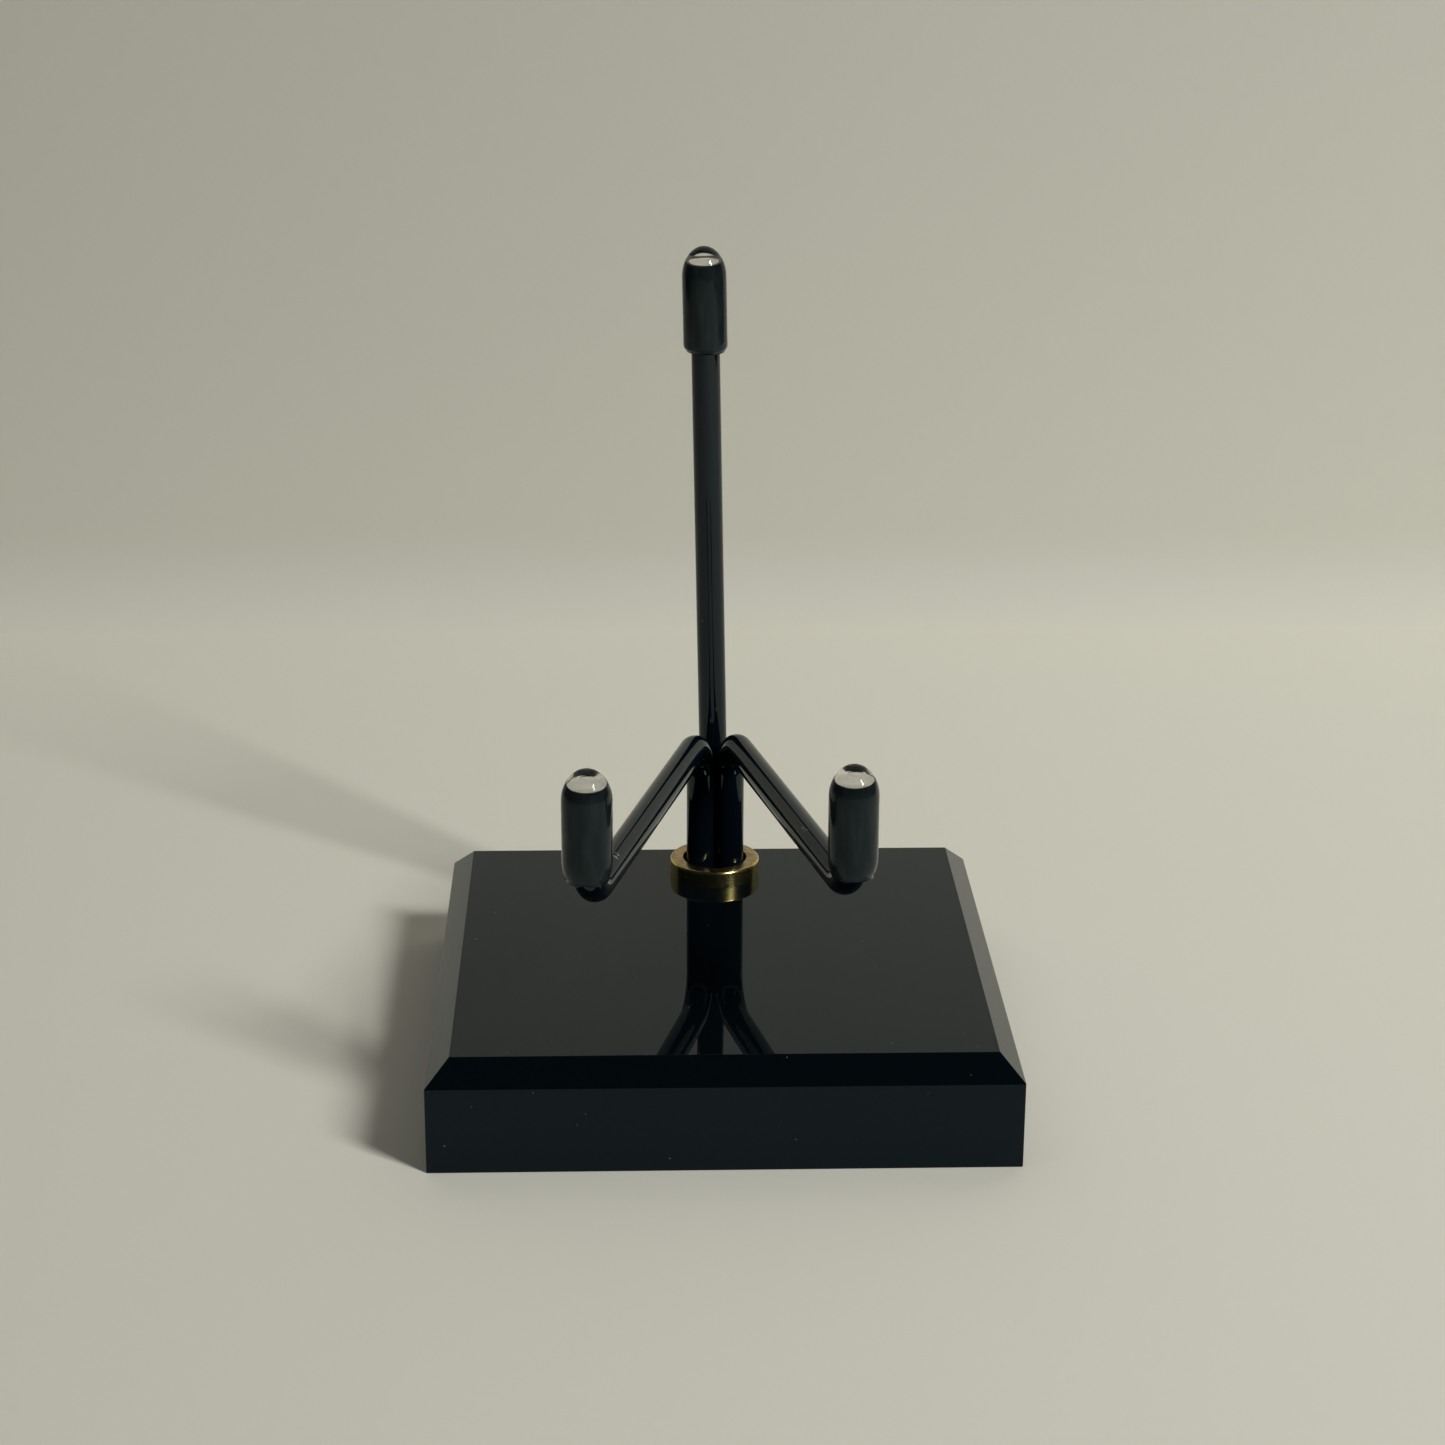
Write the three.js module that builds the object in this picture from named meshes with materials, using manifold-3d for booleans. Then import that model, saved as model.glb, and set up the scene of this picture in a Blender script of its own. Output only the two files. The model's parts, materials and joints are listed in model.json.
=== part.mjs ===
// Three-arm display stand: a bevelled block, a collar, two bent arms, an upright and their soft tip caps.
// Millimetres, +Z up, +Y towards the back. The origin is the centre of the block's underside.

import * as THREE from 'three';
import { mergeVertices } from 'three/addons/utils/BufferGeometryUtils.js';
import Module from 'manifold-3d';

// Block
const BLOCK_SIDE = 76.2;
const BLOCK_HEIGHT = 14.8;
const BLOCK_CHAMFER = 3.1;

// Stepped socket in the block, near its back edge
const SOCKET_X = 0.43;
const SOCKET_Y = 26.3;
const SOCKET_RADIUS = 4.8;
const SOCKET_FLOOR = 2.7;

// Collar: a flange that stands on the block, and a short spigot in the wide step of the socket
const COLLAR_RADIUS = 6.45;
const COLLAR_BORE_RADIUS = 4.6;
const COLLAR_STAND = 2.4;
const COLLAR_EDGE = 0.25;
const SPIGOT_RADIUS = 5.5;
const SPIGOT_DEPTH = 3.0;
const SPIGOT_GAP = 0.15;
const FLANGE_GAP = 0.05;

// Rods: two bent stems stand side by side, and the straight upright stands in the valley behind them
const ROD_RADIUS = 1.985;
const STEM_PITCH = 4.25;
const STEM_FOOT = 3.0;
const BEND_RADIUS = 5.2;

// Upright: where its axis crosses the block's top, from the front stems, and how it leans
const UPRIGHT_X = 0.14;
const UPRIGHT_BACK = 3.73;
const UPRIGHT_LEAN_X = -0.0212;
const UPRIGHT_LEAN_Y = -0.009;

// Tip caps
const CAP_BORE_RADIUS = 2.2;
const CAP_DOME = 4.2;
const CAP_END_WALL = 2.3;
const CAP_END_GAP = 0.2;
const CAP_LIP_HEIGHT = 3.0;
const CAP_LIP_FLAT = 0.15;
const CAP_BORE_CHAMFER = 0.4;

// Each rod with its cap. azimuth is the arm's turn outwards from straight ahead, in degrees, reach is from
// stem to prong, height is the level of the arm's axis, and lipTilt is how far a cap's lip leans, in
// degrees, where it has met the bend.
const LEFT = {
  side: -1,
  azimuth: 14.83,
  reach: 60.8,
  height: 35.75,
  capRadius: 3.22,
  capLength: 13.7,
  capTop: 53.05,
  lipTilt: 21,
};
const RIGHT = {
  side: 1,
  azimuth: 13.12,
  reach: 58.93,
  height: 35.9,
  capRadius: 3.17,
  capLength: 13.65,
  capTop: 52.9,
  lipTilt: 25.5,
};
const REAR = { capRadius: 3.06, capLength: 14.7, capTop: 106.15, lipTilt: 0 };

// Facets
const ROD_SIDES = 20;
const ROUND_SIDES = 40;
const CAP_SIDES = 28;
const BEND_STEPS = 9;
const DOME_STEPS = 6;
const LIP_STEPS = 3;

const wasm = await Module();
wasm.setup();

const MATERIALS = {
  block: new THREE.MeshStandardMaterial({ color: 0x0b0d0f, roughness: 0.04, metalness: 0 }),
  collar: new THREE.MeshStandardMaterial({ color: 0xb89a5a, roughness: 0.35, metalness: 1 }),
  rod: new THREE.MeshStandardMaterial({ color: 0x0d0e10, roughness: 0.12, metalness: 0 }),
  cap: new THREE.MeshStandardMaterial({ color: 0xc9cabd, roughness: 0.2, metalness: 0, transparent: true, opacity: 0.4 }),
};

function namedMesh(name, geometry, material) {
  const mesh = new THREE.Mesh(geometry, material);
  mesh.name = name;
  return mesh;
}

// Revolves [radius, height] pairs about +Z.
function turned(pairs, sides, start = 0) {
  const points = pairs.map(([radius, height]) => new THREE.Vector2(radius, height));
  return new THREE.LatheGeometry(points, sides, start).rotateX(Math.PI / 2);
}

// A quarter of an ellipse from start to end, which lie on its two axes: it leaves start along the radius.
function quarterArc(start, end, steps) {
  return Array.from({ length: steps + 1 }, (_, i) => {
    const angle = (i / steps) * (Math.PI / 2);
    const radius = start[0] + (end[0] - start[0]) * Math.sin(angle);
    const height = end[1] + (start[1] - end[1]) * Math.cos(angle);
    return [radius, height];
  });
}

function toSolid(geometry) {
  const bare = geometry.clone();
  bare.deleteAttribute('normal');
  bare.deleteAttribute('uv');
  const merged = mergeVertices(bare);
  return new wasm.Manifold(new wasm.Mesh({
    numProp: 3,
    vertProperties: new Float32Array(merged.attributes.position.array),
    triVerts: new Uint32Array(merged.index.array),
  }));
}

function toGeometry(solid) {
  const mesh = solid.getMesh();
  const geometry = new THREE.BufferGeometry();
  geometry.setAttribute('position', new THREE.BufferAttribute(mesh.vertProperties, 3));
  geometry.setIndex(new THREE.BufferAttribute(mesh.triVerts, 1));
  geometry.computeVertexNormals();
  return geometry;
}

// Straight runs between corners, joined by round bends. It is sampled at its stations, so that a straight
// run has only its two ends and each bend has BEND_STEPS chords.
class RodPath extends THREE.Curve {
  constructor(corners) {
    super();
    this.stations = [];
    this.addStation(corners[0], corners[1].clone().sub(corners[0]).normalize());
    for (let i = 1; i < corners.length - 1; i += 1) {
      this.addBend(corners[i - 1], corners[i], corners[i + 1]);
    }
    const [beforeLast, last] = corners.slice(-2);
    this.addStation(last, last.clone().sub(beforeLast).normalize());
  }

  addStation(point, tangent) {
    this.stations.push({ point, tangent });
  }

  addBend(before, corner, after) {
    const incoming = corner.clone().sub(before).normalize();
    const outgoing = after.clone().sub(corner).normalize();
    const turn = incoming.angleTo(outgoing);
    const axis = incoming.clone().cross(outgoing).normalize();
    const start = corner.clone().addScaledVector(incoming, -BEND_RADIUS * Math.tan(turn / 2));
    const centre = start.clone().addScaledVector(axis.clone().cross(incoming), BEND_RADIUS);
    for (let i = 0; i <= BEND_STEPS; i += 1) {
      const angle = (turn * i) / BEND_STEPS;
      const point = start.clone().sub(centre).applyAxisAngle(axis, angle).add(centre);
      this.addStation(point, incoming.clone().applyAxisAngle(axis, angle));
    }
  }

  get steps() {
    return this.stations.length - 1;
  }

  getPointAt(u, target = new THREE.Vector3()) {
    return target.copy(this.stations[Math.round(u * this.steps)].point);
  }

  getTangentAt(u, target = new THREE.Vector3()) {
    return target.copy(this.stations[Math.round(u * this.steps)].tangent);
  }
}

function rodGeometry(path) {
  const section = new THREE.Shape();
  section.setFromPoints(new THREE.Path().absarc(0, 0, ROD_RADIUS, 0, 2 * Math.PI).getSpacedPoints(ROD_SIDES));
  return new THREE.ExtrudeGeometry(section, { steps: path.steps, extrudePath: path, curveSegments: 1 });
}

// A square block turned out of a four-sided profile, with its top edges chamfered.
function baseBlock() {
  const corner = (BLOCK_SIDE / 2) * Math.SQRT2;
  const outline = [
    [0, 0],
    [corner, 0],
    [corner, BLOCK_HEIGHT - BLOCK_CHAMFER],
    [corner - BLOCK_CHAMFER * Math.SQRT2, BLOCK_HEIGHT],
    [0, BLOCK_HEIGHT],
  ];
  const stepHeight = BLOCK_HEIGHT - SPIGOT_DEPTH - SPIGOT_GAP;
  const stepRadius = SPIGOT_RADIUS + SPIGOT_GAP;
  const socket = [
    [0, SOCKET_FLOOR],
    [SOCKET_RADIUS, SOCKET_FLOOR],
    [SOCKET_RADIUS, stepHeight],
    [stepRadius, stepHeight],
    [stepRadius, BLOCK_HEIGHT + 1],
    [0, BLOCK_HEIGHT + 1],
  ];
  const block = toSolid(turned(outline, 4, Math.PI / 4));
  const cutter = toSolid(turned(socket, ROUND_SIDES).translate(SOCKET_X, SOCKET_Y, 0));
  return namedMesh('base_block', toGeometry(block.subtract(cutter)), MATERIALS.block);
}

function collar() {
  const outline = [
    [COLLAR_BORE_RADIUS, -SPIGOT_DEPTH],
    [SPIGOT_RADIUS, -SPIGOT_DEPTH],
    [SPIGOT_RADIUS, FLANGE_GAP],
    [COLLAR_RADIUS, FLANGE_GAP],
    [COLLAR_RADIUS, COLLAR_STAND - COLLAR_EDGE],
    [COLLAR_RADIUS - COLLAR_EDGE, COLLAR_STAND],
    [COLLAR_BORE_RADIUS + COLLAR_EDGE, COLLAR_STAND],
    [COLLAR_BORE_RADIUS, COLLAR_STAND - COLLAR_EDGE],
    [COLLAR_BORE_RADIUS, -SPIGOT_DEPTH],
  ];
  const mesh = namedMesh('brass_collar', turned(outline, ROUND_SIDES), MATERIALS.collar);
  mesh.position.set(SOCKET_X, SOCKET_Y, BLOCK_HEIGHT);
  return mesh;
}

// A domed cap with its lip at height 0. The lip rises towards +Y by lipTilt, and the bore stays straight.
function tipCap(name, { capRadius, capLength, lipTilt }) {
  const lipRound = capRadius - CAP_BORE_RADIUS - CAP_LIP_FLAT;
  const boreEnd = capLength - CAP_END_WALL;
  const outline = [
    ...quarterArc([0, capLength], [capRadius, capLength - CAP_DOME], DOME_STEPS),
    [capRadius, CAP_LIP_HEIGHT],
    ...quarterArc([capRadius - lipRound, 0], [capRadius, lipRound], LIP_STEPS).reverse(),
    [CAP_BORE_RADIUS, 0],
    [CAP_BORE_RADIUS, CAP_LIP_HEIGHT],
    [CAP_BORE_RADIUS, boreEnd - CAP_BORE_CHAMFER],
    [CAP_BORE_RADIUS - CAP_BORE_CHAMFER, boreEnd],
    [0, boreEnd],
  ];
  const geometry = turned(outline.reverse(), CAP_SIDES);
  const { position } = geometry.attributes;
  const slope = Math.tan(THREE.MathUtils.degToRad(lipTilt));
  for (let i = 0; i < position.count; i += 1) {
    const height = position.getZ(i);
    const share = Math.max(0, 1 - height / CAP_LIP_HEIGHT);
    position.setZ(i, height + share * slope * position.getY(i));
  }
  return namedMesh(name, geometry, MATERIALS.cap);
}

function rodTop({ capTop }) {
  return capTop - CAP_END_WALL - CAP_END_GAP;
}

// One bent arm with its cap, in a group that stands on the stem's axis and is turned to its azimuth.
function arm(rodName, capName, rod) {
  const path = new RodPath([
    new THREE.Vector3(0, 0, STEM_FOOT),
    new THREE.Vector3(0, 0, rod.height),
    new THREE.Vector3(0, -rod.reach, rod.height),
    new THREE.Vector3(0, -rod.reach, rodTop(rod)),
  ]);
  const cap = tipCap(capName, rod);
  cap.position.set(0, -rod.reach, rod.capTop - rod.capLength);
  const group = new THREE.Group();
  group.add(namedMesh(rodName, rodGeometry(path), MATERIALS.rod), cap);
  group.position.set(SOCKET_X + (rod.side * STEM_PITCH) / 2, stemRowY(), 0);
  group.rotation.z = rod.side * THREE.MathUtils.degToRad(rod.azimuth);
  return group;
}

// The front stems' row: the three rods' axes stand on an equal-sided triangle about the socket's axis.
function stemRowY() {
  return SOCKET_Y - STEM_PITCH / (2 * Math.sqrt(3));
}

// The straight upright with its cap, in a group whose +Z is the upright's leaning axis.
function upright() {
  const lean = new THREE.Vector3(UPRIGHT_LEAN_X, UPRIGHT_LEAN_Y, 1);
  const stretch = lean.length();
  const foot = (STEM_FOOT - BLOCK_HEIGHT) * stretch;
  const top = (rodTop(REAR) - BLOCK_HEIGHT) * stretch;
  const rod = new THREE.CylinderGeometry(ROD_RADIUS, ROD_RADIUS, top - foot, ROD_SIDES).rotateX(Math.PI / 2);
  rod.translate(0, 0, (top + foot) / 2);
  const cap = tipCap('rear_tip_cap', REAR);
  cap.position.z = (REAR.capTop - BLOCK_HEIGHT) * stretch - REAR.capLength;
  const group = new THREE.Group();
  group.add(namedMesh('rear_upright', rod, MATERIALS.rod), cap);
  group.position.set(SOCKET_X + UPRIGHT_X, stemRowY() + UPRIGHT_BACK, BLOCK_HEIGHT);
  group.quaternion.setFromUnitVectors(new THREE.Vector3(0, 0, 1), lean.normalize());
  return group;
}

const stand = new THREE.Group();
stand.add(
  baseBlock(),
  collar(),
  arm('left_arm', 'left_tip_cap', LEFT),
  arm('right_arm', 'right_tip_cap', RIGHT),
  upright(),
);

export default stand;
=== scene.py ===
"""The display stand's looks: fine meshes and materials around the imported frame, in metres."""

import json
import math

import bmesh
import bpy
from mathutils import Matrix, Vector


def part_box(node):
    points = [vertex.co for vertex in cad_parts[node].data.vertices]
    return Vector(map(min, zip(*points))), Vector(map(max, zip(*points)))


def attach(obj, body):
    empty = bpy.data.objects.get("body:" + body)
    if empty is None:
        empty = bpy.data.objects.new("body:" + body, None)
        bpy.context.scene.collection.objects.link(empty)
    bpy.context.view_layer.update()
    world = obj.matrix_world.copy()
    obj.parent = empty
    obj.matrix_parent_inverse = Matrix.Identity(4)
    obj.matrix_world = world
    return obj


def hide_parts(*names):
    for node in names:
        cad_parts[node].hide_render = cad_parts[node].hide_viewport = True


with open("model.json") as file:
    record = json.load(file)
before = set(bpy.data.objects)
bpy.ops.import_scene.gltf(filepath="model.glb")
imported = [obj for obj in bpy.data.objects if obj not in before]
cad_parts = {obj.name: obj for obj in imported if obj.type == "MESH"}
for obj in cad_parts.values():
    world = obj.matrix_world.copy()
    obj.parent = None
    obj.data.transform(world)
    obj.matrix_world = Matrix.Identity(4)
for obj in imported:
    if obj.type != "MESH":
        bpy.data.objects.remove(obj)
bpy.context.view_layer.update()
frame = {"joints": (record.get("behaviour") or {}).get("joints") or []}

MM = 0.001
UP = Vector((0, 0, 1))

# ---- sizes that a piece's own box doesn't give ----

BLOCK_CHAMFER = 3.1 * MM
CHAMFER_ANGLE = 45
BLOCK_EDGE = 0.12 * MM
BLOCK_CORNER = BLOCK_EDGE * 1.5
SOCKET_RADIUS = 4.8 * MM
SOCKET_FLOOR = 2.7 * MM

SPIGOT_RADIUS = 5.5 * MM
SPIGOT_DEPTH = 3.0 * MM
SPIGOT_GAP = 0.15 * MM
COLLAR_BORE = 4.6 * MM
COLLAR_BORE_EDGE = 0.08 * MM
COLLAR_EDGE = 0.36 * MM
COLLAR_FOOT_EDGE = 0.02 * MM
COLLAR_SEAT = 0.002 * MM

ROD_RADIUS = 1.985 * MM
ROD_END_EDGE = 0.18 * MM
ROD_END_ROUNDING = 0.3
BEND_RADIUS = 5.2 * MM
BEND_REACH = BEND_RADIUS * 1.001  # the straight runs stop just short of the bends

CAP_DOME = 4.2 * MM
CAP_END_WALL = 2.3 * MM
CAP_END_GAP = 0.2 * MM
CAP_LIP_EDGE = 0.15 * MM
CAP_LIP_CURVE = 60  # how many degrees of its ellipse the lip's taper follows
CAP_SLANT_REACH = 3  # how far up a slanted lip bends the body, in lip heights
CAP_MOUTH = 0.25 * MM
CAP_MOUTH_RISE = 0.72  # the share of a mouth's depth that is left on its far side
CAP_GRIP = 0.01 * MM  # how deep a cap's wall and its rod overlap, so that no air is drawn between them
POCKET_RIM = 0.02 * MM

FRONT_CAP = {
    "pocket_radius": 1.8 * MM,
    "pocket_rise": 0.6 * MM,
    "lip_height": 2.6 * MM,
    "lip_taper": 0.9 * MM,
    "lip_lift": 0.0,
}
LEFT = {"height": 35.75 * MM, "cap_radius": 3.22 * MM, "cap_length": 14.6 * MM, **FRONT_CAP}
RIGHT = {"height": 35.9 * MM, "cap_radius": 3.17 * MM, "cap_length": 14.7 * MM, **FRONT_CAP}
REAR = {
    "cap_radius": 3.06 * MM,
    "cap_length": 14.7 * MM,
    "pocket_radius": 1.4 * MM,
    "pocket_rise": 0.3 * MM,
    "lip_height": 1.0 * MM,
    "lip_taper": 0.75 * MM,
    "lip_lift": 0.2 * MM,
}

# The soft rings and dimples that moulding leaves at a cap's closed end
RING_SPACING = 0.085 * MM
RING_TWIST = 2
RING_DEPTH = 0.010 * MM
DIMPLE_SPACING = (0.21 * MM, 0.17 * MM)
DIMPLE_OFFSET = 1
DIMPLE_DEPTH = 0.012 * MM

# Where the two arms' black coat is rubbed, near their elbows
SCUFFS = ((-13.7 * MM, -23.6 * MM, 37.5 * MM), (10.6 * MM, -15.1 * MM, 37.4 * MM))
SCUFF_REACH = 1.1 * MM
SCUFF_CORE = SCUFF_REACH * 0.4

# How finely the shapes are cut
ROD_SIDES = 64
COLLAR_SIDES = 128
CAP_SIDES = 96
CORNER_STEPS = 4
EDGE_STEPS = 3
COLLAR_EDGE_STEPS = 5
BEND_STEPS = 28
STEM_STEPS = 24
ARM_STEPS = 40
PRONG_STEPS = 12
UPRIGHT_STEPS = 240
DOME_STEPS = 24
CAP_BODY_STEPS = 8
LIP_TAPER_STEPS = 12
LIP_EDGE_STEPS = 5
MOUTH_STEPS = 5
BORE_STEPS = 24
POCKET_STEPS = 40

# ---- stage ----

SWEEP_WIDTH = 0.42
SWEEP_FRONT = -0.5
SWEEP_START = 0.187
SWEEP_RADIUS = 0.016
SWEEP_TOP = 0.75
SWEEP_STEPS = 12
SWEEP_CURVE_STEPS = 24
# Painted shade on the paper: the floor darker towards the front, the wall darker towards its top
FLOOR_SPAN = (-0.17, 0.17)
FLOOR_PAINTED_SHADE = (0.85, 1.0)
WALL_SPAN = (0.0, 0.13)
WALL_PAINTED_SHADE = (0.87, 0.77)
SWEEP_EVENNESS = 0.45  # how strongly the paper's shade makes up for its curve: 0 not at all, 1 fully

LIGHT_TARGET = Vector((0, 0, 0.02))
KEY_WAY = Vector((0.84, -0.80, 1.0)).normalized()
KEY_DISTANCE = 1.2
KEY_SIZE = (0.20, 0.40)
KEY_POWER = 11.8
KEY_COLOUR = (1.0, 1.0, 0.985)
FILL_WAY = Vector((-0.35, -0.1, 1.0)).normalized()
FILL_DISTANCE = 1.1
FILL_SIZE = (1.0, 1.0)
FILL_POWER = 1.45
FILL_COLOUR = (1.0, 0.99, 0.98)
ROOM_DARK = (0.016, 0.017, 0.019, 1)
ROOM_SEEN = (0.40, 0.39, 0.335, 1)

CAMERA_PLACE = Vector((-0.0122546, -0.386096, 0.183714))
CAMERA_PITCH = 0.339878
CAMERA_YAW = 0.0332611
CAMERA_ROLL = 0.0048972
CAMERA_LENS = 76.065
CAMERA_SENSOR = 36.0
CAMERA_CLIP = (0.01, 20.0)
VIEW_GAMMA = 0.87

# ---- finishes ----

DUST_ROUGHNESS = 0.6
FINE_DUST_STRENGTH = 0.5
ACRYLIC_BLACK = (0.0020, 0.0046, 0.0068, 1)
ACRYLIC_DUST = (0.35, 0.34, 0.30, 1)
ACRYLIC_SHEEN = (0.62, 0.84, 1.0, 1)
ROD_BLACK = (0.0024, 0.0056, 0.0100, 1)
ROD_DUST = (0.26, 0.26, 0.24, 1)
ROD_SHEEN = (0.84, 0.98, 1.0, 1)
FILM_DARK = (0.026, 0.036, 0.040, 1)
FILM_PALE = (0.044, 0.056, 0.060, 1)
FILM_STRETCH = (1.0, 1.0, 0.2)
CUT_DARK = (0.15, 0.15, 0.145, 1)
CUT_PALE = (0.28, 0.275, 0.26, 1)
BRASS_TAN = (0.60, 0.46, 0.25, 1)
BRASS_TAN_STAIN = (0.34, 0.24, 0.12, 1)
BRASS_OLIVE = (0.84, 0.72, 0.28, 1)
BRASS_OLIVE_STAIN = (0.60, 0.50, 0.19, 1)
BRASS_FACE_SPAN = (-0.10 * MM, -0.02 * MM)  # from its side to its top face, below the ring's top
BRASS_FACE_WEAR = 0.06
VINYL_CLEAR = (0.93, 0.93, 0.90, 1)
VINYL_CLOUDED = (0.86, 0.86, 0.82, 1)
VINYL_SHEEN = (0.32, 0.42, 0.46, 1)
PAPER_BLACK = (0.0, 0.0, 0.0, 1)
PAPER_WHITE = (0.80, 0.785, 0.70, 1)


# ---- mesh helpers ----


def add_to_scene(obj):
    bpy.context.scene.collection.objects.link(obj)
    return obj


def add_mesh(name, bm):
    bmesh.ops.recalc_face_normals(bm, faces=bm.faces)
    mesh = bpy.data.meshes.new(name)
    bm.to_mesh(mesh)
    bm.free()
    mesh.shade_smooth()
    return add_to_scene(bpy.data.objects.new(name, mesh))


def keep_flats_flat(obj):
    """Smooth shading whose normals follow the large faces, so flat faces reflect like flat ones."""
    obj.modifiers.new("weighted_normals", "WEIGHTED_NORMAL").weight = 100


def bridge(bm, ring_a, ring_b):
    count = len(ring_a)
    for i in range(count):
        j = (i + 1) % count
        bm.faces.new((ring_a[i], ring_a[j], ring_b[j], ring_b[i]))


def loft(bm, rings, close_start=True, close_end=True):
    """Joins rings of points with quads. Returns the first and last rings of vertices."""
    made = [[bm.verts.new(p) for p in ring] for ring in rings]
    for ring_a, ring_b in zip(made, made[1:]):
        bridge(bm, ring_a, ring_b)
    if close_start:
        bm.faces.new(reversed(made[0]))
    if close_end:
        bm.faces.new(made[-1])
    return made[0], made[-1]


def full_turn(sides):
    return (2 * math.pi * i / sides for i in range(sides))


def circle(radius, height, sides):
    return [Vector((radius * math.cos(a), radius * math.sin(a), height)) for a in full_turn(sides)]


def arc(centre, radii, start, end, steps):
    """Points [radius, height] on an ellipse about centre, from one angle to another in degrees."""
    angles = (math.radians(start + (end - start) * i / steps) for i in range(steps + 1))
    return [(centre[0] + radii[0] * math.cos(a), centre[1] + radii[1] * math.sin(a)) for a in angles]


def round_edge(centre, radius, start, end, steps=EDGE_STEPS):
    return arc(centre, (radius, radius), start, end, steps)


# ---- the frame's numbers ----


def joint(name):
    return next(j for j in frame["joints"] if j["name"] == name)


def centre_of(node_name):
    low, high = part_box(node_name)
    return (low + high) / 2


def upright_line():
    hinge = joint("upright_turn")
    return Vector(hinge["pos_m"]), Vector(hinge["axis"]).normalized()


# ---- block and collar ----


def rounded_square(half, corner, height):
    """A ring of points round a square whose corners have a small radius."""
    points = []
    middle = half - corner
    for quarter in range(4):
        turn = math.radians(90 * quarter)
        for i in range(CORNER_STEPS + 1):
            a = math.radians(90 * i / CORNER_STEPS)
            x = middle + corner * math.cos(a)
            y = middle + corner * math.sin(a)
            around = (x * math.cos(turn) - y * math.sin(turn), x * math.sin(turn) + y * math.cos(turn))
            points.append(Vector((*around, height)))
    return points


def base_block():
    """The chamfered block, with a socket in its top where the collar and the rods stand."""
    low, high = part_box("base_block")
    half, top = (high.x - low.x) / 2, high.z
    edge = BLOCK_EDGE
    shoulder = top - BLOCK_CHAMFER
    inset = half - BLOCK_CHAMFER
    slope = edge * math.tan(math.radians(CHAMFER_ANGLE / 2))
    profile = round_edge((half - edge, edge), edge, -90, 0)
    profile += round_edge((half - edge, shoulder - slope), edge, 0, CHAMFER_ANGLE)
    profile += round_edge((inset - slope, top - edge), edge, CHAMFER_ANGLE, 90)
    bm = bmesh.new()
    loft(bm, [rounded_square(r, BLOCK_CORNER, z) for r, z in profile], close_end=False)
    middle = centre_of("brass_collar")
    middle.z = 0
    step = top - SPIGOT_DEPTH - SPIGOT_GAP
    wide = SPIGOT_RADIUS + SPIGOT_GAP
    socket = round_edge((wide + edge, top - edge), edge, 90, 180)
    socket += [(wide, step), (SOCKET_RADIUS, step), (SOCKET_RADIUS, SOCKET_FLOOR)]
    rings = [[p + middle for p in circle(r, z, COLLAR_SIDES)] for r, z in socket]
    loft(bm, rings, close_start=False)
    rims = [e for e in bm.edges if e.is_boundary]
    bmesh.ops.triangle_fill(bm, edges=rims, use_beauty=True)
    obj = add_mesh("acrylic_block", bm)
    keep_flats_flat(obj)
    return obj


def collar():
    """The ring on the block and its spigot in the socket. Its own origin is level with the block's top."""
    low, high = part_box("brass_collar")
    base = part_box("base_block")[1].z
    outer, top = (high.x - low.x) / 2, high.z - base
    edge, inner, foot = COLLAR_EDGE, COLLAR_BORE_EDGE, COLLAR_FOOT_EDGE
    profile = [(COLLAR_BORE, -SPIGOT_DEPTH), (SPIGOT_RADIUS, -SPIGOT_DEPTH), (SPIGOT_RADIUS, COLLAR_SEAT)]
    profile += round_edge((outer - foot, COLLAR_SEAT + foot), foot, -90, 0)
    profile += round_edge((outer - edge, top - edge), edge, 0, 90, COLLAR_EDGE_STEPS)
    profile += round_edge((COLLAR_BORE + inner, top - inner), inner, 90, 180)
    bm = bmesh.new()
    rings = [circle(r, z, COLLAR_SIDES) for r, z in profile]
    first, last = loft(bm, rings, close_start=False, close_end=False)
    bridge(bm, last, first)
    obj = add_mesh("turned_collar", bm)
    obj.location = ((low.x + high.x) / 2, (low.y + high.y) / 2, base)
    keep_flats_flat(obj)
    return obj


# ---- rods ----


def held_length(shape):
    """The length of rod that a cap covers."""
    return shape["cap_length"] - CAP_END_WALL - CAP_END_GAP - CAP_MOUTH


def rod_mesh(name, stations, across, held):
    """A round rod through stations of (point, direction), with slightly rounded ends.

    The last length of it, held in a cap, takes the second material, and its cut end the third.
    """
    edge, rounding = ROD_END_EDGE, ROD_END_EDGE * ROD_END_ROUNDING
    ends = [(0, edge), (rounding, rounding), (edge, 0)]
    (foot, foot_way), (tip, tip_way) = stations[0], stations[-1]
    sections = [(foot + foot_way * along, foot_way, ROD_RADIUS - less) for along, less in ends]
    sections += [(point, way, ROD_RADIUS) for point, way in stations[1:-1]]
    sections += [(tip - tip_way * along, tip_way, ROD_RADIUS - less) for along, less in reversed(ends)]
    rings = []
    for point, way, radius in sections:
        side = (across - way * across.dot(way)).normalized()
        other = way.cross(side)
        turns = full_turn(ROD_SIDES)
        rings.append([point + (side * math.cos(a) + other * math.sin(a)) * radius for a in turns])
    bm = bmesh.new()
    loft(bm, rings)
    bm.faces.ensure_lookup_table()
    run = 0.0
    for i in range(len(sections) - 1, 0, -1):
        run += (sections[i][0] - sections[i - 1][0]).length
        if run < held:
            for face in bm.faces[(i - 1) * ROD_SIDES : i * ROD_SIDES]:
                face.material_index = 1
    bm.faces[-1].material_index = 2
    return add_mesh(name, bm)


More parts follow.
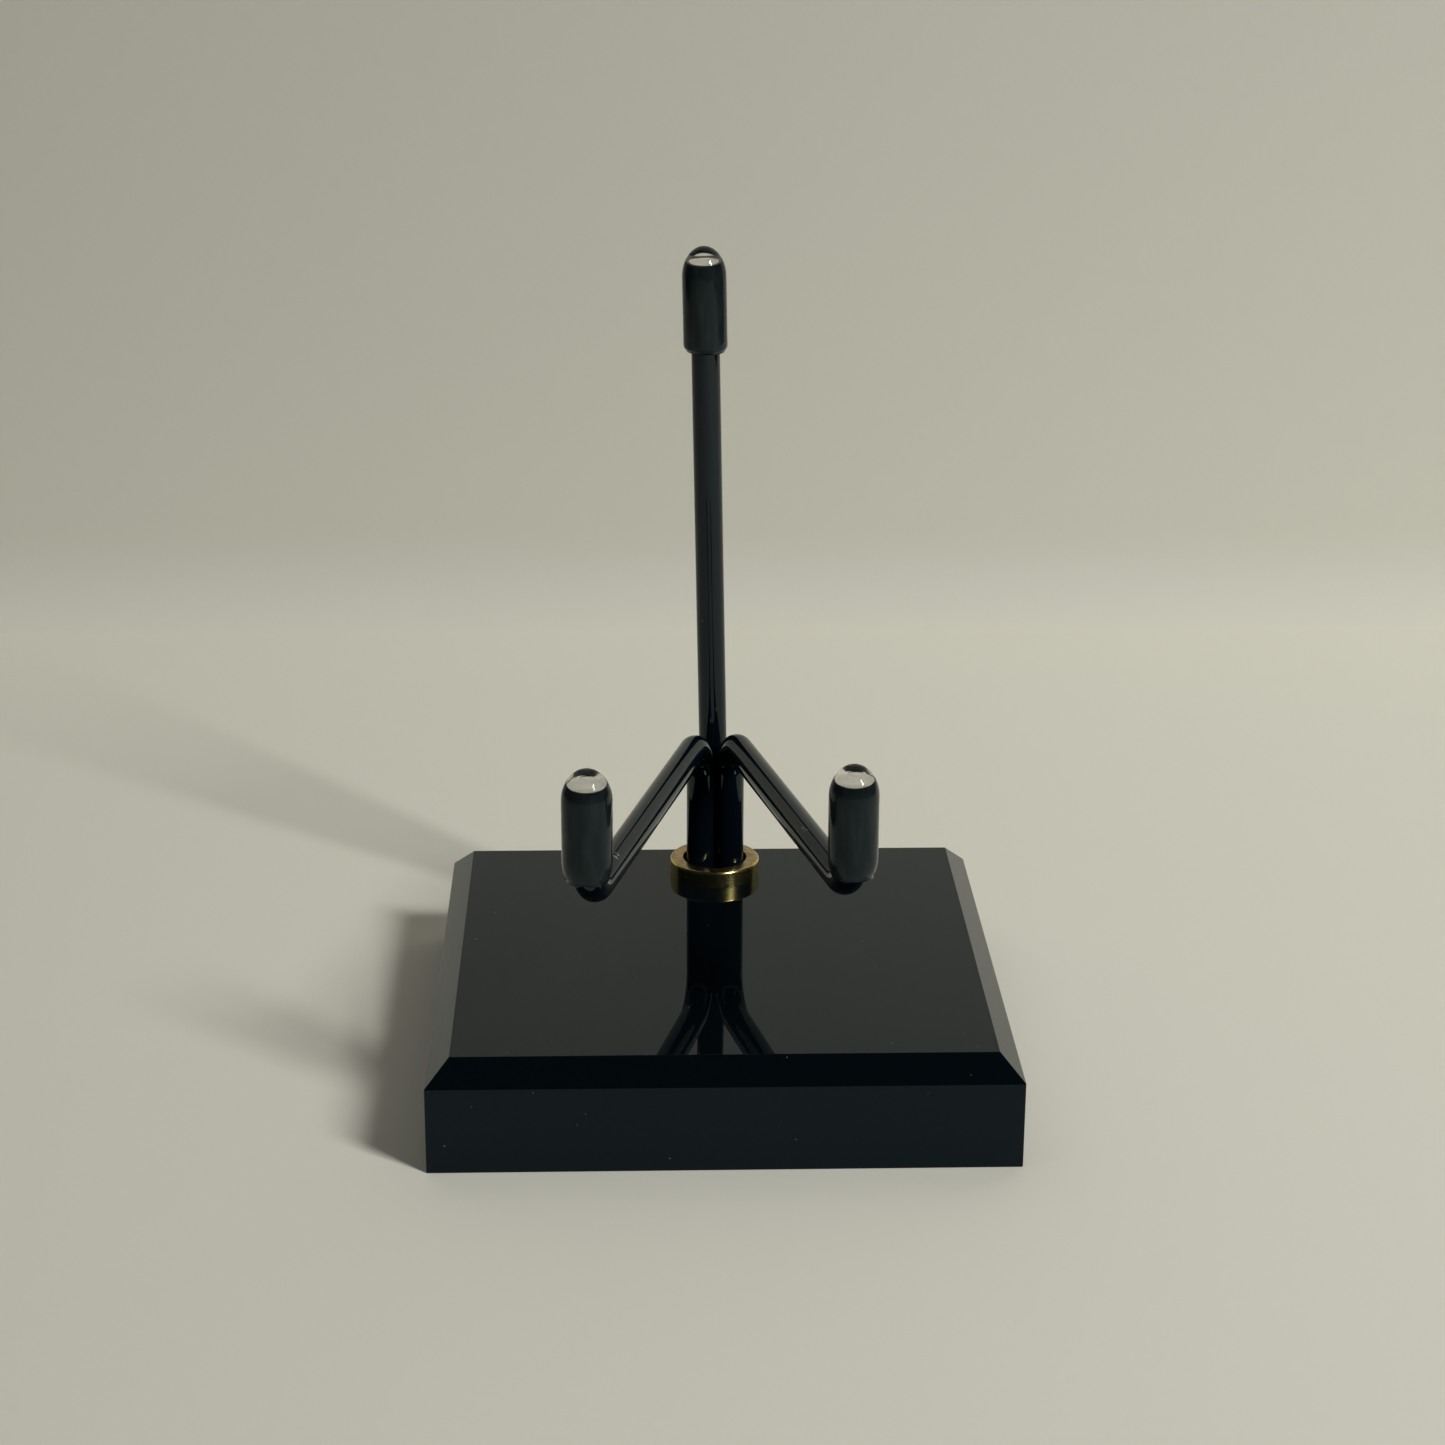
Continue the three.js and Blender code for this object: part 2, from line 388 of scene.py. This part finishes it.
def bend(corner, way_in, way_out):
    """Stations round a bend that rounds off the corner between two straight runs."""
    turn = way_in.angle(way_out)
    axis = way_in.cross(way_out).normalized()
    start = corner - way_in * BEND_RADIUS * math.tan(turn / 2)
    centre = start + axis.cross(way_in) * BEND_RADIUS
    spins = (Matrix.Rotation(turn * i / BEND_STEPS, 3, axis) for i in range(BEND_STEPS + 1))
    return [(centre + spin @ (start - centre), spin @ way_in) for spin in spins]


def straight(start, end, steps):
    way = (end - start).normalized()
    return [(start.lerp(end, i / steps), way) for i in range(steps + 1)]


def arm(name, node_name, cap_node, hinge, shape):
    """A rod that rises from its hinge, bends over towards its cap's place, and turns up into the cap."""
    stem = Vector(joint(hinge)["pos_m"])
    prong = centre_of(cap_node)
    low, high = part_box(node_name)
    foot = Vector((stem.x, stem.y, low.z))
    first = Vector((stem.x, stem.y, shape["height"]))
    second = Vector((prong.x, prong.y, shape["height"]))
    tip = Vector((prong.x, prong.y, high.z))
    along = (second - first).normalized()
    stations = straight(foot, first - UP * BEND_REACH, STEM_STEPS)
    stations += bend(first, UP, along)
    stations += straight(first + along * BEND_REACH, second - along * BEND_REACH, ARM_STEPS)
    stations += bend(second, along, UP)
    stations += straight(second + UP * BEND_REACH, tip, PRONG_STEPS)
    return rod_mesh(name, stations, UP.cross(along), held_length(shape))


def upright():
    """The straight rod, shortened so that its leaning ends stay inside its box."""
    point, way = upright_line()
    low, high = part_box("rear_upright")
    slack = ROD_RADIUS * math.hypot(way.x, way.y)
    foot = point + way * ((low.z + slack - point.z) / way.z)
    tip = point + way * ((high.z - slack - point.z) / way.z)
    return rod_mesh("upright_rod", straight(foot, tip, UPRIGHT_STEPS), Vector((1, 0, 0)), held_length(REAR))


# ---- caps ----


def cap_outside(shape):
    """[radius, height] points down the outside of a cap, from its dome to the lowest ring of its lip."""
    radius, length = shape["cap_radius"], shape["cap_length"]
    lip, taper, edge = shape["lip_height"], shape["lip_taper"], CAP_LIP_EDGE
    body = length - CAP_DOME - lip
    points = arc((0, length - CAP_DOME), (radius, CAP_DOME), 90, 0, DOME_STEPS)[1:]
    points += [(radius, lip + body * i / CAP_BODY_STEPS) for i in range(CAP_BODY_STEPS - 1, 0, -1)]
    points += arc((radius - taper, lip), (taper, lip - edge * 0.6), 0, -CAP_LIP_CURVE, LIP_TAPER_STEPS)
    taper_end = points[-1][0]
    points += round_edge((taper_end - edge * 0.9, edge), edge, -15, -90, LIP_EDGE_STEPS)
    return points


def cap_inside(shape):
    """[radius, height] points up the inside of a cap: its mouth, its grip on the rod, and an air pocket."""
    length, pocket = shape["cap_length"], shape["pocket_radius"]
    bore, edge, rounding = ROD_RADIUS - CAP_GRIP, ROD_END_EDGE, ROD_END_EDGE * ROD_END_ROUNDING
    shoulder = length - CAP_END_WALL - CAP_END_GAP - edge
    rod_end = length - CAP_END_WALL - CAP_END_GAP - CAP_GRIP
    points = round_edge((bore + CAP_MOUTH, CAP_MOUTH), CAP_MOUTH, -90, -180, MOUTH_STEPS)
    points += [(bore, CAP_MOUTH + (shoulder - CAP_MOUTH) * i / BORE_STEPS) for i in range(1, BORE_STEPS)]
    points += [(bore, shoulder), (bore - rounding, shoulder + 2 * rounding), (bore - edge, rod_end)]
    points += [(pocket + POCKET_RIM, rod_end), (pocket, rod_end + CAP_GRIP)]
    for i in range(1, POCKET_STEPS):
        share = 1 - i / POCKET_STEPS
        points.append((pocket * share, rod_end + CAP_GRIP + shape["pocket_rise"] * (1 - share**2)))
    return points


def bent(point, toward, start, far_share, far_reach):
    """Carries a point below the height start round the rod's bend, towards the bend's centre.

    The near side follows the whole bend. The far side follows far_share of it, and its depth below
    start is cut to far_reach.
    """
    if point.z >= start:
        return point
    out = point.xy.dot(toward)
    side = out / point.xy.length
    share = far_share + (1 - far_share) * (1 + side) / 2
    depth = (start - point.z) * (far_reach + (1 - far_reach) * min(1.0, 1 + side))
    angle = share * depth / BEND_RADIUS
    shift = BEND_RADIUS - (BEND_RADIUS - out) * math.cos(angle) - out
    low = start - depth * (1 - share) - (BEND_RADIUS - out) * math.sin(angle)
    return Vector((point.x + toward.x * shift, point.y + toward.y * shift, low))


def lip_slant(point, shape):
    """How far a lip that was cut a little askew stands up on its left side."""
    near_lip = max(0.0, 1 - point.z / (CAP_SLANT_REACH * shape["lip_height"]))
    return shape["lip_lift"] * near_lip * (1 - point.x / shape["cap_radius"]) / 2


def end_wave(point, shape):
    """How far the soft rings and dimples in the pocket at a cap's closed end move a point."""
    radius = point.xy.length
    above = point.z - (shape["cap_length"] - CAP_END_WALL - CAP_END_GAP)
    if radius > shape["pocket_radius"] or above < 0 or above > 2 * shape["pocket_rise"]:
        return 0.0
    turn = math.atan2(point.y, point.x)
    rings = math.sin(radius / RING_SPACING + RING_TWIST * turn)
    dimples = math.sin(point.x / DIMPLE_SPACING[0]) * math.sin(point.y / DIMPLE_SPACING[1] + DIMPLE_OFFSET)
    return (1 - (radius / shape["pocket_radius"]) ** 2) * (RING_DEPTH * rings + DIMPLE_DEPTH * dimples)


def cap(name, shape, place, toward=Vector((0, 1)), bend_start=0.0):
    """A soft cap on a rod: a dome, a straight body, and a rounded lip that follows the rod into its bend."""
    outside = [circle(r, z, CAP_SIDES) for r, z in cap_outside(shape)]
    inside = [circle(r, z, CAP_SIDES) for r, z in cap_inside(shape)]
    rings = [[bent(p, toward, bend_start, 0.0, 1.0) for p in ring] for ring in outside]
    rings += [[bent(p, toward, bend_start, 1.0, CAP_MOUTH_RISE) for p in ring] for ring in inside]
    bm = bmesh.new()
    loft(bm, rings)
    for v in bm.verts:
        v.co.z += end_wave(v.co, shape) + lip_slant(v.co, shape)
    bm.transform(place)
    return add_mesh(name, bm)


def front_cap(name, node_name, hinge, shape):
    """A level cap on an arm's tip. Its lip bends towards the arm's stem."""
    middle = centre_of(node_name)
    stem = Vector(joint(hinge)["pos_m"])
    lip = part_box(node_name)[1].z - shape["cap_length"]
    place = Matrix.Translation((middle.x, middle.y, lip))
    bend_start = shape["height"] + BEND_RADIUS - lip
    return cap(name, shape, place, (stem.xy - middle.xy).normalized(), bend_start)


def rear_cap():
    """The cap on the upright's top. It leans with the upright."""
    point, way = upright_line()
    top = point + way * ((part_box("rear_tip_cap")[1].z - point.z) / way.z)
    turn = UP.rotation_difference(way).to_matrix().to_4x4()
    place = Matrix.Translation(top - way * REAR["cap_length"]) @ turn
    return cap("rear_soft_cap", REAR, place)


# ---- material helpers ----


def material(name, values):
    """A new material, its tree and its shader. The values are those that are the same all over."""
    made = bpy.data.materials.new(name)
    made.use_nodes = True
    shader = made.node_tree.nodes["Principled BSDF"]
    for socket, value in values.items():
        shader.inputs[socket].default_value = value
    return made, made.node_tree, shader


def feed(tree, socket, value):
    """Links a node's output to a socket, or sets the socket to a plain value."""
    if isinstance(value, bpy.types.NodeSocket):
        tree.links.new(value, socket)
    else:
        socket.default_value = value


def node(tree, kind, inputs=None, **settings):
    made = tree.nodes.new(kind)
    for key, value in settings.items():
        setattr(made, key, value)
    for key, value in (inputs or {}).items():
        feed(tree, made.inputs[key], value)
    return made


def math_node(tree, operation, *values):
    return node(tree, "ShaderNodeMath", dict(enumerate(values)), operation=operation).outputs[0]


def scaled(tree, value, factor):
    return math_node(tree, "MULTIPLY", value, factor)


def ramp(tree, value, span, to=(0.0, 1.0)):
    """Maps a value's span evenly to another one, and holds it at its ends."""
    ends = {"Value": value, "From Min": span[0], "From Max": span[1], "To Min": to[0], "To Max": to[1]}
    return node(tree, "ShaderNodeMapRange", ends).outputs[0]


def blend_colour(tree, share, first, second):
    """A blend of two colours. A mix node's colour sockets are its sixth and seventh."""
    return node(tree, "ShaderNodeMix", {0: share, 6: first, 7: second}, data_type="RGBA").outputs[2]


def object_point(tree):
    return tree.nodes.new("ShaderNodeTexCoord").outputs["Object"]


def xyz(tree, point):
    """A point's outputs X, Y and Z."""
    return node(tree, "ShaderNodeSeparateXYZ", {0: point}).outputs


def noise(tree, point, scale, detail=3.0, roughness=0.5):
    inputs = {"Vector": point, "Scale": scale, "Detail": detail, "Roughness": roughness}
    return node(tree, "ShaderNodeTexNoise", inputs).outputs["Fac"]


def specks(tree, point, scale, size, share):
    """1 inside small round specks of dust, 0 elsewhere. Only a share of the cells holds one."""
    cells = node(tree, "ShaderNodeTexVoronoi", {"Vector": point, "Scale": scale})
    chance = node(tree, "ShaderNodeSeparateColor", {0: cells.outputs["Color"]}).outputs[0]
    shown = math_node(tree, "LESS_THAN", chance, share)
    dot = ramp(tree, cells.outputs["Distance"], (size, size * 0.5))
    return math_node(tree, "MULTIPLY", dot, shown)


def scuff(tree, point, place):
    """1 in small marks of rubbed paint around a place, 0 elsewhere."""
    gap = node(tree, "ShaderNodeVectorMath", {0: point, 1: place}, operation="DISTANCE").outputs["Value"]
    marks = ramp(tree, noise(tree, point, scale=1500, roughness=0.6), (0.56, 0.64))
    near = ramp(tree, gap, (SCUFF_REACH, SCUFF_CORE))
    return math_node(tree, "MULTIPLY", near, marks)


def bump(tree, shader, height, distance):
    """Bends a shader's normal as if the surface rose by height times distance."""
    normal = node(tree, "ShaderNodeBump", {"Height": height, "Distance": distance, "Strength": 1.0})
    tree.links.new(normal.outputs["Normal"], shader.inputs["Normal"])


def lay_dust(tree, shader, dust, clean, dusty, roughness):
    """Lays dust on a glossy surface, which shows the dust's colour there and loses its gloss."""
    feed(tree, shader.inputs["Base Color"], blend_colour(tree, dust, clean, dusty))
    dull = math_node(tree, "MAXIMUM", roughness, scaled(tree, dust, DUST_ROUGHNESS))
    feed(tree, shader.inputs["Roughness"], dull)


# ---- materials ----


def black_acrylic():
    made, tree, shader = material("black_acrylic", {"IOR": 1.435, "Specular Tint": ACRYLIC_SHEEN})
    point = object_point(tree)
    coarse = specks(tree, point, scale=420, size=0.06, share=0.05)
    fine = specks(tree, point, scale=900, size=0.09, share=0.07)
    dust = math_node(tree, "MAXIMUM", coarse, scaled(tree, fine, FINE_DUST_STRENGTH))
    polish = ramp(tree, noise(tree, point, scale=60, detail=4), (0.45, 0.8), to=(0.012, 0.024))
    lay_dust(tree, shader, dust, ACRYLIC_BLACK, ACRYLIC_DUST, polish)
    bump(tree, shader, noise(tree, point, scale=22, detail=1), 0.01 * MM)
    return made


def gloss_rod():
    made, tree, shader = material("gloss_black_rod", {"IOR": 1.50, "Specular Tint": ROD_SHEEN})
    point = object_point(tree)
    dust = specks(tree, point, scale=700, size=0.09, share=0.07)
    for place in SCUFFS:
        dust = math_node(tree, "MAXIMUM", dust, scuff(tree, point, place))
    gloss = ramp(tree, noise(tree, point, scale=90, detail=4), (0.4, 0.8), to=(0.035, 0.09))
    lay_dust(tree, shader, dust, ROD_BLACK, ROD_DUST, gloss)
    bump(tree, shader, noise(tree, point, scale=180, detail=2), 0.02 * MM)
    return made


def wetted_rod():
    """The rod where a cap grips it. Clear plastic touches the black coat, which takes its gloss away."""
    made, tree, shader = material("wetted_black_rod", {"Specular IOR Level": 0.0, "Roughness": 0.6})
    stretched = {0: object_point(tree), 1: FILM_STRETCH}
    streaks = node(tree, "ShaderNodeVectorMath", stretched, operation="MULTIPLY").outputs[0]
    film = ramp(tree, noise(tree, streaks, scale=1100, roughness=0.6), (0.42, 0.72))
    feed(tree, shader.inputs["Base Color"], blend_colour(tree, film, FILM_DARK, FILM_PALE))
    return made


def cut_end():
    """The sawn end of a rod under its cap: dull dark metal with a fine grain."""
    made, tree, shader = material("cut_rod_end", {"Metallic": 1.0})
    grain = noise(tree, object_point(tree), scale=2600, roughness=0.6)
    feed(tree, shader.inputs["Base Color"], blend_colour(tree, grain, CUT_DARK, CUT_PALE))
    feed(tree, shader.inputs["Roughness"], ramp(tree, grain, (0.3, 0.7), to=(0.38, 0.55)))
    bump(tree, shader, grain, 0.01 * MM)
    return made


def turned_brass():
    """Dulled brass: olive on the ring's side, tan on its top face, with fine grooves all round."""
    metal = {"Metallic": 1.0, "Anisotropic": 0.5, "Anisotropic Rotation": 0.25}
    made, tree, shader = material("turned_brass", metal)
    point = object_point(tree)
    x, y, z = xyz(tree, point)
    squared = math_node(tree, "ADD", math_node(tree, "POWER", x, 2.0), math_node(tree, "POWER", y, 2.0))
    across = math_node(tree, "ADD", math_node(tree, "SQRT", squared), z)
    cuts = node(tree, "ShaderNodeCombineXYZ", {0: across}).outputs[0]
    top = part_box("brass_collar")[1].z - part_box("base_block")[1].z
    face = ramp(tree, z, (top + BRASS_FACE_SPAN[0], top + BRASS_FACE_SPAN[1]))
    stain = ramp(tree, noise(tree, point, scale=900, detail=5, roughness=0.65), (0.40, 0.70))
    tan = blend_colour(tree, stain, BRASS_TAN, BRASS_TAN_STAIN)
    olive = blend_colour(tree, stain, BRASS_OLIVE, BRASS_OLIVE_STAIN)
    feed(tree, shader.inputs["Base Color"], blend_colour(tree, face, olive, tan))
    dull = ramp(tree, stain, (0, 1), to=(0.20, 0.29))
    feed(tree, shader.inputs["Roughness"], math_node(tree, "ADD", scaled(tree, face, BRASS_FACE_WEAR), dull))
    around = node(tree, "ShaderNodeTangent", direction_type="RADIAL", axis="Z").outputs[0]
    feed(tree, shader.inputs["Tangent"], around)
    bump(tree, shader, noise(tree, cuts, scale=9000, detail=2), 0.006 * MM)
    return made


def clear_vinyl():
    clear = {"Transmission Weight": 1.0, "IOR": 1.53, "Specular Tint": VINYL_SHEEN}
    made, tree, shader = material("clear_vinyl", clear)
    point = object_point(tree)
    cloud = ramp(tree, noise(tree, point, scale=500, detail=4), (0.4, 0.75))
    feed(tree, shader.inputs["Base Color"], blend_colour(tree, cloud, VINYL_CLEAR, VINYL_CLOUDED))
    feed(tree, shader.inputs["Roughness"], ramp(tree, cloud, (0, 1), to=(0.02, 0.10)))
    bump(tree, shader, noise(tree, point, scale=350, detail=2), 0.03 * MM)
    return made


def paper():
    """Matt paper with painted shade: the floor darker towards the front, the wall darker towards its top,
    and its curve darkened where the key light falls more squarely, to even it out. Its back is clear.
    """
    made, tree, shader = material("matt_paper", {"Specular IOR Level": 0.2, "Roughness": 0.8})
    point = object_point(tree)
    parts = xyz(tree, point)
    # Painted shade: the floor darker towards the front, the wall darker towards its top, the curve divided
    # by how squarely the key light falls on it
    floor_painted_shade = ramp(tree, parts["Y"], FLOOR_SPAN, to=FLOOR_PAINTED_SHADE)
    wall_painted_shade = ramp(tree, parts["Z"], WALL_SPAN, to=WALL_PAINTED_SHADE)
    rise = ramp(tree, parts["Z"], (0.0, SWEEP_RADIUS))
    surface = tree.nodes.new("ShaderNodeNewGeometry").outputs
    to_key = {0: surface["Normal"], 1: KEY_WAY}
    facing = node(tree, "ShaderNodeVectorMath", to_key, operation="DOT_PRODUCT").outputs["Value"]
    lit = math_node(tree, "POWER", math_node(tree, "ABSOLUTE", facing), SWEEP_EVENNESS)
    on_floor = scaled(tree, floor_painted_shade, KEY_WAY.z**SWEEP_EVENNESS)
    on_wall = scaled(tree, wall_painted_shade, (-KEY_WAY.y) ** SWEEP_EVENNESS)
    change = math_node(tree, "MULTIPLY", rise, math_node(tree, "SUBTRACT", on_wall, on_floor))
    shade = math_node(tree, "DIVIDE", math_node(tree, "ADD", on_floor, change), lit)
    feed(tree, shader.inputs["Base Color"], blend_colour(tree, shade, PAPER_BLACK, PAPER_WHITE))
    bump(tree, shader, noise(tree, point, scale=700), 0.02 * MM)
    clear = tree.nodes.new("ShaderNodeBsdfTransparent").outputs[0]
    sides = {0: surface["Backfacing"], 1: shader.outputs[0], 2: clear}
    either = node(tree, "ShaderNodeMixShader", sides).outputs[0]
    feed(tree, tree.nodes["Material Output"].inputs["Surface"], either)
    return made


# ---- stage ----


def sweep():
    """One sheet of paper: a floor that curves up into a wall behind the stand."""
    wall = SWEEP_START + SWEEP_RADIUS
    floor_run, wall_run = SWEEP_START - SWEEP_FRONT, SWEEP_TOP - SWEEP_RADIUS
    profile = [(SWEEP_FRONT + floor_run * i / SWEEP_STEPS, 0.0) for i in range(SWEEP_STEPS + 1)]
    for i in range(1, SWEEP_CURVE_STEPS + 1):
        a = math.radians(90 * i / SWEEP_CURVE_STEPS)
        profile.append((SWEEP_START + SWEEP_RADIUS * math.sin(a), SWEEP_RADIUS * (1 - math.cos(a))))
    profile += [(wall, SWEEP_RADIUS + wall_run * i / SWEEP_STEPS) for i in range(1, SWEEP_STEPS + 1)]
    bm = bmesh.new()
    rows = [[bm.verts.new((x, y, z)) for x in (-SWEEP_WIDTH, SWEEP_WIDTH)] for y, z in profile]
    for (a, b), (c, d) in zip(rows, rows[1:]):
        bm.faces.new((a, b, d, c))
    obj = add_mesh("paper_sweep", bm)
    if obj.data.polygons[0].normal.z < 0:
        obj.data.flip_normals()
    obj.data.materials.append(paper())


def area_light(name, way, distance, size, power, colour):
    data = bpy.data.lights.new(name, "AREA")
    data.shape = "RECTANGLE"
    data.size, data.size_y = size
    data.energy, data.color = power, colour
    obj = bpy.data.objects.new(name, data)
    obj.location = LIGHT_TARGET + way * distance
    obj.rotation_mode = "QUATERNION"
    obj.rotation_quaternion = way.to_track_quat("Z", "Y")
    return add_to_scene(obj)


def lights():
    area_light("key", KEY_WAY, KEY_DISTANCE, KEY_SIZE, KEY_POWER, KEY_COLOUR)
    fill = area_light("fill", FILL_WAY, FILL_DISTANCE, FILL_SIZE, FILL_POWER, FILL_COLOUR)
    fill.visible_glossy = fill.visible_transmission = False


def room():
    """The surroundings: dark for what the stand reflects, pale where the view passes the paper."""
    world = bpy.data.worlds.new("room")
    bpy.context.scene.world = world
    world.use_nodes = True
    tree = world.node_tree
    seen = tree.nodes.new("ShaderNodeLightPath").outputs["Is Camera Ray"]
    colour = blend_colour(tree, seen, ROOM_DARK, ROOM_SEEN)
    feed(tree, tree.nodes["Background"].inputs["Color"], colour)


def camera():
    data = bpy.data.cameras.new("camera")
    data.lens, data.sensor_width = CAMERA_LENS, CAMERA_SENSOR
    data.clip_start, data.clip_end = CAMERA_CLIP
    obj = add_to_scene(bpy.data.objects.new("camera", data))
    yaw = Matrix.Rotation(-CAMERA_YAW, 4, "Z")
    pitch = Matrix.Rotation(math.pi / 2 - CAMERA_PITCH, 4, "X")
    roll = Matrix.Rotation(CAMERA_ROLL, 4, "Z")
    obj.matrix_world = Matrix.Translation(CAMERA_PLACE) @ yaw @ pitch @ roll
    bpy.context.scene.camera = obj
    bpy.context.scene.view_settings.view_transform = "Standard"
    bpy.context.scene.view_settings.gamma = VIEW_GAMMA


# ---- build ----


def finish_piece(obj, finishes, body, node_name):
    """Gives a piece its materials, hangs it on the empty of the body that it rides on, and hides the CAD
    node that it replaces.
    """
    for made in finishes:
        obj.data.materials.append(made)
    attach(obj, body)
    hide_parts(node_name)


def build():
    acrylic, brass, vinyl = [black_acrylic()], [turned_brass()], [clear_vinyl()]
    rod = [gloss_rod(), wetted_rod(), cut_end()]
    left_arm = arm("left_bent_rod", "left_arm", "left_tip_cap", "left_arm_swivel", LEFT)
    right_arm = arm("right_bent_rod", "right_arm", "right_tip_cap", "right_arm_swivel", RIGHT)
    left_cap = front_cap("left_soft_cap", "left_tip_cap", "left_arm_swivel", LEFT)
    right_cap = front_cap("right_soft_cap", "right_tip_cap", "right_arm_swivel", RIGHT)
    finish_piece(base_block(), acrylic, "base", "base_block")
    finish_piece(collar(), brass, "base", "brass_collar")
    finish_piece(left_arm, rod, "left_arm", "left_arm")
    finish_piece(right_arm, rod, "right_arm", "right_arm")
    finish_piece(upright(), rod, "upright", "rear_upright")
    finish_piece(left_cap, vinyl, "left_cap", "left_tip_cap")
    finish_piece(right_cap, vinyl, "right_cap", "right_tip_cap")
    finish_piece(rear_cap(), vinyl, "rear_cap", "rear_tip_cap")


build()
sweep()
lights()
room()
camera()
